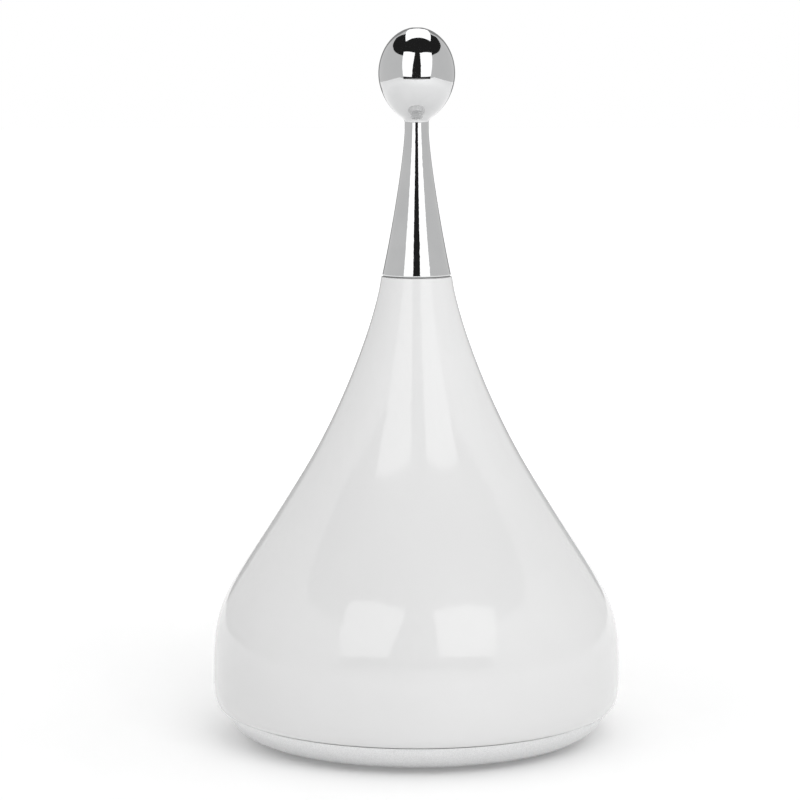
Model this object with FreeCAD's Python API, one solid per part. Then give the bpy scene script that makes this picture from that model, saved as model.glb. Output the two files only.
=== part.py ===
import FreeCAD, Part
import math
import os
from FreeCAD import Vector

# A drop-shaped ultrasonic cool mist humidifier for a desk: a white bell that lifts off the base, a chrome
# spire with an egg-shaped finial that the mist leaves by, and a silver base with the water tank, the
# piezo disc, the fan and the boards. Millimetres, +Z up. The origin is the middle of the footprint, on the
# table, and the sockets and buttons are at the back, towards +Y.
# An outline is drawn in the plane of the axis as (radius, height) corners and turned about Z.

# ---- Driving dimensions ----
FOOT_GAP = 1.5                        # height of the base's underside above the table

# bell
BELLY_R, BELLY_Z = 65.0, 20.6         # the widest ring of the whole object
WAIST_R, WAIST_Z = 36.7, 84.0         # where the outline turns from bulging to hollow
WAIST_LEAN = math.radians(31.6)       # the outline's lean from upright there
UPPER_HANDLE, LOWER_HANDLE = 29.5, 46.0
NECK_R, NECK_Z = 11.2, 147.3          # the bell's top edge
NECK_LEAN = math.radians(6.0)
RIM_R, RIM_Z = 59.8, 9.6              # the bell's bottom edge
RIM_HOLE_R = 58.1
BELL_WALL = 2.2
NECK_BORE_R = 9.0
NECK_FLOOR_Z = 131.5                  # underside of the thick ring round the neck's bore
NECK_HOLLOW_R = 12.2
GASKET_R, GASKET_H = 10.3, 0.7

# spire
CONE_R, CONE_Z = 10.8, 147.6          # the cone's bottom edge
CONE_LEAN = 0.21                      # radius lost per unit of height at that edge
STEM_R, STEM_Z = 3.75, 194.8          # the cone's top, where the finial's collar starts
CONE_WALL = 0.95
TUBE_R, TUBE_BORE_R, TUBE_BOTTOM_Z = 3.0, 2.4, 154.0
TUBE_HOLE_R = 3.05
SPIGOT_R, BUSH_BORE_R = 7.7, 7.9
BUSH_BOTTOM_Z, BUSH_TOP_Z = 137.0, 146.8
GROOVE_Z, GROOVE_R = 143.0, 6.85

# finial, an egg in two shells
EGG_R, EGG_Z = 12.05, 211.0           # its widest ring, where the shells meet
EGG_UP, CAVITY_DOWN = 14.45, 14.3     # from that ring up to the top, and down to the hollow's lowest point
EGG_FOOT_R, EGG_FOOT_DOWN = 5.48, 13.1    # where the flank ends and the fillet to the collar starts
EGG_WALL = 1.1
EGG_INNER_R = EGG_R - EGG_WALL
EGG_LIP_R = 9.95                      # inside of the lower shell's lip
TIP_R, TIP_SEAT, TIP_BOSS_R = 3.6, 2.2, 4.6
OUTLET_R = 1.3                        # the hole in the top that the mist leaves by

# base pan
PAN_R, PAN_TOP_Z = 60.8, 9.4
PAN_FLAT_R = 51.0
PAN_FLOOR_Z = 3.5
PAN_INNER_R = 58.1
SEAL_IN_R, SEAL_OUT_R, SEAL_H = 58.5, 60.2, 0.8
FOOT_RING_R, FOOT_ANGLE, FOOT_R = 43.0, 35.0, 4.5
FOOT_RECESS = 0.7
POST_RING_R, POST_ANGLE = 44.0, 62.0  # the four screws that hold the tank on the pan
PAN_POST_R, PAN_POST_Z = 4.2, 6.5

# water tank
TANK_RIM_R, TANK_RIM_Z = 47.3, 60.0
TANK_WALL = 1.8
BASIN_R = 44.5
TANK_FLOOR_Z, TANK_UNDER_Z = 27.0, 25.2
SKIRT_R, SKIRT_BOTTOM_Z, SKIRT_TOP_Z = 57.6, 8.8, 30.0
COLLAR_TOP_Z = SKIRT_TOP_Z + 4.4
TANK_POST_R = 3.6

# transducer, under a round sump in the tank's floor
DISC_X = 14.0
SUMP_R, SUMP_FLOOR_Z, SUMP_UNDER_Z = 16.0, 23.0, 21.2
SUMP_HOLE_R = 8.5
DISC_R, DISC_Z, DISC_H = 10.0, 18.6, 1.2
BOOT_R, BOOT_BOTTOM_Z = 13.0, 16.9
CLAMP_R, CLAMP_H, CLAMP_HOLE_R = 16.5, 1.6, 7.0
CLAMP_EAR_RING_R, CLAMP_EAR_R = 18.5, 2.8

# air way
DUCT_X, DUCT_W, DUCT_L, DUCT_WALL = -34.0, 8.0, 22.0, 1.5
PIPE_W, PIPE_L = DUCT_W + 2 * DUCT_WALL, DUCT_L + 2 * DUCT_WALL
DUCT_TOP_Z = 62.0
FAN_X, FAN_SIDE, FAN_Z, FAN_H = -30.0, 40.0, 4.5, 10.0
FAN_BORE_R, BLADE_TIP_R, HUB_R, HUB_WALL = 19.0, 18.3, 10.0, 1.1
FAN_SCREW_OFFSET = 16.0
BLADES, BLADE_LEAN = 7, 48
HOOD_ROOF_Z, HOOD_WALL, HOOD_FLANGE_H = 20.0, 1.2, 1.5
SLOT_PITCH, SLOT_W, SLOT_FIELD_R = 4.6, 2.4, 16.5

# float
FLOAT_X, FLOAT_Y = 12.0, -31.0
FLOAT_POST_R, FLOAT_POST_TOP_Z = 2.5, 46.6
FLOAT_R, FLOAT_BORE_R, FLOAT_BOTTOM_Z, FLOAT_H = 8.0, 2.9, 27.4, 12.0
MAGNET_IN_R, MAGNET_OUT_R, MAGNET_H = 4.2, 6.6, 3.2

# mist funnel, inside the bell
FUNNEL_SKIRT_R, FUNNEL_WALL = 43.4, 1.5
FUNNEL_SKIRT_Z, FUNNEL_LEDGE_Z = 57.0, 67.0
FUNNEL_DOME_R = 33.0
CHIMNEY_R, CHIMNEY_BORE_R, CHIMNEY_FOOT_Z, CHIMNEY_TOP_Z = 8.9, 7.2, 96.0, 136.6
BELL_POST_RING_R, BELL_POST_R = 38.5, 3.0

# boards
BOARD_X0, BOARD_X1, BOARD_HALF_Y, BOARD_Z, BOARD_H = 2.0, 42.0, 25.0, 8.0, 1.6
BACK_BOARD_R0, BACK_BOARD_R1, BACK_BOARD_HALF_ANGLE = 48.0, 55.0, 25.0
BACK_BOARD_Z, BACK_BOARD_H = 5.0, 1.0
LED_RING_R0, LED_RING_R1, LED_RING_Z, LED_RING_H = 48.5, 55.0, 26.0, 1.0
LED_COUNT, LED_STAKES = 8, 3
COIL_X, COIL_Y = 12.0, -18.0
LEAD_D = 1.0

# socket and buttons, at the back
USB_W, USB_H, USB_DEPTH, USB_Z, USB_MOUTH_Y = 8.94, 3.16, 7.35, 6.3, 57.8
BUTTON_ANGLE = 19.0                   # each side of the back's middle
BUTTON_R, BUTTON_Z, BUTTON_PROUD = 1.9, 6.0, 0.6
PUSH_Z, PUSH_R = 6.9, 0.7             # the line that a button pushes its switch along

# screws: the head's radius and height, and the shank's radius
LARGE_SCREW = (2.9, 2.0, 1.5)
FAN_SCREW = (2.4, 1.6, 1.25)
SMALL_SCREW = (2.0, 1.3, 1.0)
TINY_SCREW = (1.6, 1.1, 0.8)
PILOT_GAP = 0.02                      # between a shank and its pilot hole
SMALL_HOLE_R, SMALL_PILOT_R = 1.3, SMALL_SCREW[2] + PILOT_GAP
GLUE_GAP = 0.05

CENTRE, UP = Vector(0, 0, 0), Vector(0, 0, 1)


# ---- Helpers ----
def bend(first_handle, second_handle, end):
    """A step of an outline that curves to its end."""
    return ("bend", first_handle, second_handle, end)


def outline_face(start, *steps):
    """The face inside an outline of (radius, height) corners and bends, closed back to its start."""
    edges, here = [], Vector(start[0], 0, start[1])
    for step in steps + (start,):
        if step[0] == "bend":
            curve = Part.BezierCurve()
            curve.setPoles([here] + [Vector(r, 0, z) for r, z in step[1:]])
            edges.append(curve.toShape())
            here = Vector(step[3][0], 0, step[3][1])
        else:
            there = Vector(step[0], 0, step[1])
            if here.distanceToPoint(there) > 1e-6:
                edges.append(Part.makeLine(here, there))
            here = there
    return Part.Face(Part.Wire(edges))


def lathe(start, *steps):
    """The solid that an outline makes when it is turned about Z."""
    return outline_face(start, *steps).revolve(CENTRE, UP, 360)


def placed(shape, x=0.0, y=0.0, z=0.0, turn=0.0):
    """A copy, turned about Z by turn degrees and then moved."""
    copy = shape.copy()
    copy.rotate(CENTRE, UP, turn)
    copy.translate(Vector(x, y, z))
    return copy


def rod(radius, low, high, x=0.0, y=0.0):
    return Part.makeCylinder(radius, high - low, Vector(x, y, low))


def ring(outer, inner, low, high, x=0.0, y=0.0):
    return rod(outer, low, high, x, y).cut(rod(inner, low - 1, high + 1, x, y))


def block(x0, x1, y0, y1, z0, z1):
    return Part.makeBox(x1 - x0, y1 - y0, z1 - z0, Vector(x0, y0, z0))


def slot(width, length, low, high, x=0.0):
    """An upright prism with round ends, its long way along Y."""
    r, run = width / 2, (length - width) / 2
    a, b = Vector(x - r, -run, low), Vector(x - r, run, low)
    c, d = Vector(x + r, run, low), Vector(x + r, -run, low)
    far = Part.Arc(b, Vector(x, run + r, low), c).toShape()
    near = Part.Arc(d, Vector(x, -run - r, low), a).toShape()
    wire = Part.Wire([Part.makeLine(a, b), far, Part.makeLine(c, d), near])
    return Part.Face(wire).extrude(Vector(0, 0, high - low))


def around(radius, angles, x=0.0, y=0.0):
    """Points on a circle, as (x, y)."""
    return [(x + radius * math.cos(math.radians(a)), y + radius * math.sin(math.radians(a))) for a in angles]


def four_way(angle):
    return [angle, 180 - angle, 180 + angle, -angle]


def radial(shape, angle):
    """A shape drawn along +X, turned to point away from the axis at an angle from +X."""
    return placed(shape, turn=angle)


def screw(x, y, seat, length, size, upward=False):
    """A pan-head screw with a cross recess. Its head's underside is at seat, and its shank points down."""
    head, head_h, shank = size
    dome = bend((head * 0.9, head_h), (head, head_h * 0.75), (head, head_h * 0.4))
    body = lathe((0, head_h), (head * 0.72, head_h), dome, (head, 0), (shank, 0), (shank, -length + shank),
                 (shank * 0.4, -length), (0, -length))
    for turn in (0, 90):
        blade = block(-head * 0.55, head * 0.55, -head * 0.13, head * 0.13, head_h * 0.45, head_h + 1)
        body = body.cut(placed(blade, turn=turn))
    if upward:
        body.rotate(CENTRE, Vector(1, 0, 0), 180)
    return placed(body, x, y, seat)


def lead(points, diameter):
    """A wire along straight runs joined by tangent arcs, each as large as its two runs allow."""
    points = [Vector(*p) for p in points]
    runs = [b.sub(a) for a, b in zip(points, points[1:])]
    edges, here = [], points[0]
    for corner, before, after in zip(points[1:], runs, runs[1:]):
        trim = 0.45 * min(before.Length, after.Length)
        start = corner.sub(Vector(before).normalize() * trim)
        end = corner.add(Vector(after).normalize() * trim)
        half_turn = before.getAngle(after) / 2
        radius = trim / math.tan(half_turn)
        inward = Vector(after).normalize().sub(Vector(before).normalize()).normalize()
        middle = corner.add(inward * (radius / math.cos(half_turn) - radius))
        edges += [Part.makeLine(here, start), Part.Arc(start, middle, end).toShape()]
        here = end
    edges.append(Part.makeLine(here, points[-1]))
    section = Part.Wire(Part.Circle(points[0], runs[0], diameter / 2).toShape())
    return Part.Wire(edges).makePipeShell([section], True, False)


def save(name, *solids):
    shape = solids[0] if len(solids) == 1 else Part.makeCompound(solids)
    for solid in shape.Solids:
        if not solid.isValid() or solid.Volume <= 0:
            print("not a sound solid:", name, solid.Volume)
    shape.exportStep(f"parts/{name}.step")


# ---- Bell ----
def bell_post_places():
    return around(BELL_POST_RING_R, (30, 150, 270))


def bell_outline(inset):
    """The bell's surface from above its waist down to its widest ring, moved inward by inset."""
    across, along = math.cos(WAIST_LEAN), math.sin(WAIST_LEAN)
    waist_r, waist_z = WAIST_R - inset * across, WAIST_Z - inset * along
    above = (waist_r - UPPER_HANDLE * along, waist_z + UPPER_HANDLE * across)
    below = (waist_r + LOWER_HANDLE * along, waist_z - LOWER_HANDLE * across)
    to_belly = bend(below, (BELLY_R - inset, BELLY_Z + 26), (BELLY_R - inset, BELLY_Z))
    return above, (waist_r, waist_z), to_belly


def bell_shell():
    """The bell, thick round the neck's bore, with three screw posts inside for the funnel."""
    above, waist, to_belly = bell_outline(0)
    lip = bend((NECK_R - 0.1, NECK_Z), (NECK_R, NECK_Z - 0.1), (NECK_R + 0.03, NECK_Z - 0.35))
    neck_handle = (NECK_R + 10 * math.sin(NECK_LEAN), NECK_Z - 10 * math.cos(NECK_LEAN))
    curl = bend((BELLY_R, BELLY_Z - 8.9), (RIM_R + 4.2, RIM_Z), (RIM_R, RIM_Z))
    outside = lathe((0, NECK_Z), (NECK_R - 0.35, NECK_Z), lip, bend(neck_handle, above, waist), to_belly,
                    curl, (0, RIM_Z))

    above, waist, to_belly = bell_outline(BELL_WALL)
    rim_top = RIM_Z + BELL_WALL
    from_neck = bend((NECK_HOLLOW_R + 3, NECK_FLOOR_Z - 10), above, waist)
    curl = bend((BELLY_R - BELL_WALL, BELLY_Z - 6.6), (RIM_HOLE_R + 3.4, rim_top), (RIM_HOLE_R, rim_top))
    hollow = lathe((0, NECK_FLOOR_Z), (NECK_HOLLOW_R, NECK_FLOOR_Z), from_neck, to_belly, curl,
                   (RIM_HOLE_R, RIM_Z - 1), (0, RIM_Z - 1))
    bore = rod(NECK_BORE_R, NECK_FLOOR_Z - 1, NECK_Z + 1)
    gasket_seat = rod(GASKET_R + 0.1, NECK_Z - 0.5, NECK_Z + 1)
    shell = outside.cut([hollow, bore, gasket_seat])

    foot = FUNNEL_LEDGE_Z + FUNNEL_WALL
    for x, y in bell_post_places():
        post = rod(BELL_POST_R, foot, foot + 20, x, y).common(outside)
        shell = shell.fuse(post).cut(rod(SMALL_PILOT_R, foot - 1, foot + 6, x, y))
    return shell.removeSplitter()


def mist_funnel():
    """A ledge and skirt that send drips back to the tank, a dome, and the chimney up to the neck."""
    skirt_in, top = FUNNEL_SKIRT_R - FUNNEL_WALL, FUNNEL_LEDGE_Z + FUNNEL_WALL
    body = lathe((skirt_in, FUNNEL_SKIRT_Z), (FUNNEL_SKIRT_R, FUNNEL_SKIRT_Z), (FUNNEL_SKIRT_R, top),
                 (FUNNEL_DOME_R, top),
                 bend((20, 73.5), (CHIMNEY_R, 82), (CHIMNEY_R, CHIMNEY_FOOT_Z)), (CHIMNEY_R, CHIMNEY_TOP_Z),
                 (CHIMNEY_BORE_R, CHIMNEY_TOP_Z), (CHIMNEY_BORE_R, CHIMNEY_FOOT_Z),
                 bend((CHIMNEY_BORE_R, 80), (19, 71.5), (FUNNEL_DOME_R, FUNNEL_LEDGE_Z)),
                 (skirt_in, FUNNEL_LEDGE_Z))
    for x, y in bell_post_places():
        body = body.cut(rod(SMALL_HOLE_R, FUNNEL_LEDGE_Z - 1, top + 1, x, y))
    return body


def funnel_screws():
    return [screw(x, y, FUNNEL_LEDGE_Z, 6.0, SMALL_SCREW, upward=True) for x, y in bell_post_places()]


def neck_bush():
    """The liner of the neck's bore, with a ledge at its foot."""
    outer = NECK_BORE_R - GLUE_GAP
    return lathe((CHIMNEY_BORE_R, BUSH_BOTTOM_Z), (outer, BUSH_BOTTOM_Z), (outer, BUSH_TOP_Z),
                 (BUSH_BORE_R + 0.3, BUSH_TOP_Z), (BUSH_BORE_R, BUSH_TOP_Z - 0.3),
                 (BUSH_BORE_R, BUSH_BOTTOM_Z + 1), (CHIMNEY_BORE_R, BUSH_BOTTOM_Z + 1))


def neck_gasket():
    return ring(GASKET_R, NECK_BORE_R + 0.1, NECK_Z - 0.5, NECK_Z - 0.5 + GASKET_H)


# ---- Spire ----
def spire_cone():
    """A thin hollow cone, with a short bore for the mist tube at its top."""
    inner_r = CONE_R - CONE_WALL
    edge = bend((CONE_R - 0.1, CONE_Z), (CONE_R, CONE_Z + 0.2), (CONE_R, CONE_Z + 0.5))
    side = bend((CONE_R - 16 * CONE_LEAN, CONE_Z + 16), (STEM_R, STEM_Z - 8), (STEM_R, STEM_Z))
    inside = bend((TUBE_HOLE_R, STEM_Z - 12), (inner_r - 16 * CONE_LEAN, CONE_Z + 16), (inner_r, CONE_Z))
    return lathe((CONE_R - 0.5, CONE_Z), edge, side, (TUBE_HOLE_R, STEM_Z), (TUBE_HOLE_R, STEM_Z - 6),
                 inside)


def ellipse_bend(radius, half_height, begin, finish):
    """A bend along an ellipse round the egg's middle, between two angles below its widest ring."""
    k = 4 / 3 * math.tan((finish - begin) / 4)
    r0, z0 = radius * math.cos(begin), EGG_Z - half_height * math.sin(begin)
    r1, z1 = radius * math.cos(finish), EGG_Z - half_height * math.sin(finish)
    return bend((r0 - k * radius * math.sin(begin), z0 - k * half_height * math.cos(begin)),
                (r1 + k * radius * math.sin(finish), z1 + k * half_height * math.cos(finish)), (r1, z1))


def finial_top():
    """The egg's upper shell, thick round the seat of the tip."""
    top = EGG_Z + EGG_UP
    boss_angle = math.acos(TIP_BOSS_R / EGG_INNER_R)
    inside = ellipse_bend(EGG_INNER_R, EGG_WALL - EGG_UP, 0, boss_angle)
    boss_z = inside[3][1] - 1.4
    shell = lathe((0, top), ellipse_bend(EGG_R, -EGG_UP, math.pi / 2, 0), (EGG_INNER_R, EGG_Z), inside,
                  (TIP_BOSS_R, boss_z), (0, boss_z))
    return shell.cut([rod(TIP_R + 0.1, top - TIP_SEAT, top + 1), rod(TUBE_HOLE_R, boss_z - 1, top + 1)])


def finial_bottom():
    """The egg's lower shell and its collar, with a lip that goes up inside the upper shell."""
    foot_z = EGG_Z - EGG_FOOT_DOWN
    flank = bend((EGG_R, EGG_Z - 4.6), (EGG_R - 2.45, foot_z + 3), (EGG_FOOT_R, foot_z))
    fillet = bend((EGG_FOOT_R - 0.8, foot_z - 0.6), (STEM_R, STEM_Z + 2.1), (STEM_R, STEM_Z + 1))
    floor_angle = math.acos(4.4 / EGG_LIP_R)
    floor_z = EGG_Z - CAVITY_DOWN * math.sin(floor_angle)
    lip_z = EGG_Z + 2
    hollow = ellipse_bend(EGG_LIP_R, CAVITY_DOWN, floor_angle, 0)
    return lathe((EGG_R, EGG_Z), flank, fillet, (STEM_R, STEM_Z), (TUBE_HOLE_R, STEM_Z),
                 (TUBE_HOLE_R, floor_z), (4.4, floor_z), hollow,
                 (EGG_LIP_R, lip_z), (EGG_INNER_R - 0.23, lip_z), (EGG_INNER_R - 0.1, EGG_Z))


def nozzle_tip():
    """The nut on the mist tube's end, with the small outlet. Its face follows the egg."""
    base_z, seat_z = EGG_Z + EGG_UP - TIP_SEAT, EGG_Z + EGG_UP - 1.15
    face = ellipse_bend(EGG_R, -EGG_UP, math.acos(TIP_R / EGG_R), math.acos((OUTLET_R + 0.25) / EGG_R))
    rim_z = EGG_Z + EGG_UP * math.sqrt(1 - (TIP_R / EGG_R) ** 2)
    face_end_z = face[3][1]
    lip = bend((OUTLET_R + 0.1, face_end_z), (OUTLET_R, face_end_z - 0.1), (OUTLET_R, face_end_z - 0.25))
    return lathe((TUBE_HOLE_R, base_z), (TIP_R, base_z), (TIP_R, rim_z), face, lip, (OUTLET_R, seat_z),
                 (TUBE_HOLE_R, seat_z))


def mist_tube():
    return ring(TUBE_R, TUBE_BORE_R, TUBE_BOTTOM_Z, EGG_Z + EGG_UP - 1.2)


def spire_spigot():
    """The plug in the cone's foot: a flange, a spigot with a ring groove, and a throat up to the tube."""
    bottom, ledge, top = BUSH_BOTTOM_Z + 1.6, CONE_Z + 0.4, TUBE_BOTTOM_Z + 4.5
    return lathe((5.9, bottom), (SPIGOT_R - 0.4, bottom), (SPIGOT_R, bottom + 0.6),
                 (SPIGOT_R, GROOVE_Z - 0.6), (GROOVE_R, GROOVE_Z - 0.6), (GROOVE_R, GROOVE_Z + 0.6),
                 (SPIGOT_R, GROOVE_Z + 0.6), (SPIGOT_R, ledge), (9.6, ledge), (9.2, ledge + 2),
                 (6.4, ledge + 2), (4.2, top), (TUBE_HOLE_R, top), (TUBE_HOLE_R, TUBE_BOTTOM_Z),
                 (TUBE_BORE_R, TUBE_BOTTOM_Z), (5.9, TUBE_BOTTOM_Z - 7.5))


def spigot_ring():
    return Part.makeTorus(GROOVE_R + 0.5, 0.49, Vector(0, 0, GROOVE_Z))


# ---- Base ----
def pan_bulk(grow):
    """The pan's outer form, filled in, with its side moved outward by grow."""
    side, flat = PAN_R + grow, PAN_FLAT_R + grow
    return lathe((0, FOOT_GAP), (flat, FOOT_GAP),
                 bend((flat + 5.5, FOOT_GAP), (side, PAN_TOP_Z - 2.6), (side, PAN_TOP_Z)), (0, PAN_TOP_Z))


def base_pan():
    """The silver dish, with its screw posts, foot recesses, air slots and the openings at the back."""
    wall = bend((PAN_INNER_R - 3.1, PAN_FLOOR_Z), (PAN_INNER_R, 5.9), (PAN_INNER_R, 7.4))
    hollow = lathe((0, PAN_FLOOR_Z), (PAN_INNER_R - 8.1, PAN_FLOOR_Z), wall, (PAN_INNER_R, PAN_TOP_Z + 1),
                   (0, PAN_TOP_Z + 1))
    pan = pan_bulk(0).cut([hollow, rod(SEAL_OUT_R + GLUE_GAP, PAN_TOP_Z - SEAL_H, PAN_TOP_Z + 1)])

    posts = [(PAN_POST_R, PAN_POST_Z, LARGE_SCREW, 0, p) for p in base_screw_places()]
    posts += [(3.0, FAN_Z, FAN_SCREW, 2.1, p) for p in fan_screw_places()]
    posts += [(2.6, BOARD_Z, SMALL_SCREW, 4.0, p) for p in board_screw_places()]
    posts += [(1.9, BACK_BOARD_Z, TINY_SCREW, 2.6, p) for p in back_screw_places()]
    for radius, top, size, hole_z, (x, y) in posts:
        post = rod(radius, PAN_FLOOR_Z - 1, top, x, y)
        pan = pan.fuse(post).cut(rod(size[2] + PILOT_GAP, hole_z, top + 1, x, y))

    cuts = [rod(LARGE_SCREW[0] + 0.2, FOOT_GAP - 1, FOOT_GAP + 3, x, y) for x, y in base_screw_places()]
    cuts += [rod(1.65, FOOT_GAP, PAN_POST_Z + 1, x, y) for x, y in base_screw_places()]
    cuts += [rod(FOOT_R + GLUE_GAP, FOOT_GAP - 1, FOOT_GAP + FOOT_RECESS, x, y) for x, y in foot_places()]
    for row in range(-3, 4):
        length = 2 * math.sqrt(SLOT_FIELD_R ** 2 - (row * SLOT_PITCH) ** 2)
        along_x = placed(slot(SLOT_W, length, FOOT_GAP - 1, PAN_FLOOR_Z + 1), turn=90)
        cuts.append(placed(along_x, FAN_X, row * SLOT_PITCH))
    cuts.append(usb_prism(USB_W + 0.4, USB_H + 0.4, PAN_INNER_R - 6, PAN_R + 2))
    for angle in button_angles():
        hole = Part.makeCylinder(BUTTON_R + 0.2, 8, Vector(54, 0, BUTTON_Z), Vector(1, 0, 0))
        cuts.append(radial(hole, angle))
    return pan.cut(cuts).removeSplitter()


def cover_seal():
    return ring(SEAL_OUT_R, SEAL_IN_R, PAN_TOP_Z - SEAL_H, PAN_TOP_Z)


def foot_places():
    return around(FOOT_RING_R, four_way(FOOT_ANGLE))


def rubber_feet():
    edge = bend((FOOT_R - 0.25, 0), (FOOT_R, 0.25), (FOOT_R, 0.6))
    top = FOOT_GAP + FOOT_RECESS
    foot = lathe((0, 0), (FOOT_R - 0.6, 0), edge, (FOOT_R, top), (0, top))
    return [placed(foot, x, y) for x, y in foot_places()]


def base_screw_places():
    return around(POST_RING_R, four_way(POST_ANGLE))


def base_screws():
    return [screw(x, y, FOOT_GAP + 3, 10.5, LARGE_SCREW, upward=True) for x, y in base_screw_places()]


# ---- Water tank ----
def tank_basin():
    """The turned part of the tank: a round basin with a drawn-in foot and a rounded corner inside."""
    outer = BASIN_R + TANK_WALL
    corner = bend((BASIN_R, TANK_FLOOR_Z + 1), (BASIN_R - 1, TANK_FLOOR_Z), (BASIN_R - 3, TANK_FLOOR_Z))
    return lathe((0, TANK_UNDER_Z), (outer - 0.6, TANK_UNDER_Z), (outer, TANK_UNDER_Z + 0.6),
                 (outer, COLLAR_TOP_Z), (TANK_RIM_R, TANK_RIM_Z - 0.6), (TANK_RIM_R - 0.6, TANK_RIM_Z),
                 (TANK_RIM_R - TANK_WALL, TANK_RIM_Z), (BASIN_R, TANK_FLOOR_Z + 3), corner,
                 (0, TANK_FLOOR_Z))


def water_tank():
    """One moulding: the basin with its sump and float post, and the bosses under its floor."""
    solids = [tank_basin(), rod(SUMP_R + TANK_WALL, SUMP_UNDER_Z, TANK_FLOOR_Z - 0.1, DISC_X),
              ring(BOOT_R + 1.6, BOOT_R + 0.1, BOOT_BOTTOM_Z, SUMP_UNDER_Z + 0.1, DISC_X),
              rod(FLOAT_POST_R, TANK_FLOOR_Z - 0.5, FLOAT_POST_TOP_Z, FLOAT_X, FLOAT_Y)]
    holes = [rod(SUMP_R, SUMP_FLOOR_Z, TANK_FLOOR_Z + 1, DISC_X), rod(SUMP_HOLE_R, 10, TANK_FLOOR_Z, DISC_X),
             slot(PIPE_W + 2 * GLUE_GAP, PIPE_L + 2 * GLUE_GAP, TANK_UNDER_Z - 1, TANK_FLOOR_Z + 1, DUCT_X),
             rod(1.05, FLOAT_POST_TOP_Z - 6, FLOAT_POST_TOP_Z + 1, FLOAT_X, FLOAT_Y)]
    for x, y in base_screw_places():
        solids.append(rod(TANK_POST_R, PAN_POST_Z, TANK_UNDER_Z + 1, x, y))
        holes.append(rod(LARGE_SCREW[2] + PILOT_GAP, PAN_POST_Z - 1, PAN_POST_Z + 9.5, x, y))
    for x, y in clamp_screw_places():
        solids.append(rod(CLAMP_EAR_R, BOOT_BOTTOM_Z, TANK_UNDER_Z + 0.1, x, y))
        holes.append(rod(SMALL_PILOT_R, BOOT_BOTTOM_Z - 1, BOOT_BOTTOM_Z + 6, x, y))
    return solids[0].fuse(solids[1:]).cut(holes).removeSplitter()


def tank_collar():
    """The skirt that is welded round the basin and closes the base, with stakes for the ring of lights."""
    inner, skirt_inner = BASIN_R + TANK_WALL + GLUE_GAP, SKIRT_R - TANK_WALL
    under = bend((inner + 5, SKIRT_TOP_Z + 1.6), (skirt_inner, SKIRT_TOP_Z - 0.5),
                 (skirt_inner, SKIRT_TOP_Z - 4))
    over = bend((SKIRT_R, SKIRT_TOP_Z + 1), (inner + 6, SKIRT_TOP_Z + 3.6), (inner, COLLAR_TOP_Z))
    skirt = lathe((inner, SKIRT_TOP_Z + 1.8), under, (skirt_inner, SKIRT_BOTTOM_Z),
                  (SKIRT_R, SKIRT_BOTTOM_Z), (SKIRT_R, SKIRT_TOP_Z - 4), over)
    board_top = LED_RING_Z + LED_RING_H
    stakes = []
    for x, y in led_stake_places():
        stakes += [rod(1.9, board_top, SKIRT_TOP_Z + 1.9, x, y), rod(1.2, LED_RING_Z - 0.8, board_top, x, y),
                   rod(1.9, LED_RING_Z - 0.8, LED_RING_Z, x, y)]
    return skirt.fuse(stakes).removeSplitter()


def air_pipe():
    """The flat upright pipe that takes the fan's air up past the water, glued in the tank's floor."""
    pipe = slot(PIPE_W, PIPE_L, TANK_UNDER_Z, DUCT_TOP_Z, DUCT_X)
    return pipe.cut(slot(DUCT_W, DUCT_L, TANK_UNDER_Z - 1, DUCT_TOP_Z + 1, DUCT_X))


def float_ring():
    """A foam ring that rises with the water, with a pocket for the magnet in its underside."""
    low, high = FLOAT_BOTTOM_Z, FLOAT_BOTTOM_Z + FLOAT_H
    low_edge = bend((FLOAT_R - 0.3, low), (FLOAT_R, low + 0.3), (FLOAT_R, low + 0.8))
    high_edge = bend((FLOAT_R, high - 0.3), (FLOAT_R - 0.3, high), (FLOAT_R - 0.8, high))
    body = lathe((FLOAT_BORE_R, low), (MAGNET_IN_R, low), (MAGNET_IN_R, low + MAGNET_H),
                 (MAGNET_OUT_R, low + MAGNET_H), (MAGNET_OUT_R, low), (FLOAT_R - 0.8, low), low_edge,
                 (FLOAT_R, high - 0.8), high_edge, (FLOAT_BORE_R, high))
    return placed(body, FLOAT_X, FLOAT_Y)


def float_magnet():
    low, high = FLOAT_BOTTOM_Z + 0.2, FLOAT_BOTTOM_Z + MAGNET_H - GLUE_GAP
    return ring(MAGNET_OUT_R - GLUE_GAP, MAGNET_IN_R + GLUE_GAP, low, high, FLOAT_X, FLOAT_Y)


def float_cap():
    """The clip on the post's end that stops the float."""
    top = FLOAT_POST_TOP_Z
    cap = lathe((0, top - 5), (1.0, top - 5), (1.0, top), (5.0, top), (5.0, top + 0.8),
                bend((4.6, top + 1.8), (2.4, top + 2.2), (0, top + 2.2)))
    return placed(cap, FLOAT_X, FLOAT_Y)


def level_sensor():
    """A small board glued under the tank's floor below the float, with its magnetic switch."""
    top = TANK_UNDER_Z
    board = block(FLOAT_X - 4, FLOAT_X + 4, FLOAT_Y - 7, FLOAT_Y + 7, top - 1, top)
    switch = block(FLOAT_X - 1.5, FLOAT_X + 1.5, FLOAT_Y - 2, FLOAT_Y + 2, top - 2.2, top - 1)
    return board.fuse(switch)


# ---- Transducer ----
def clamp_screw_places():
    return around(CLAMP_EAR_RING_R, (90, 210, 330), DISC_X)


def transducer_disc():
    return rod(DISC_R, DISC_Z, DISC_Z + DISC_H, DISC_X)


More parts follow.
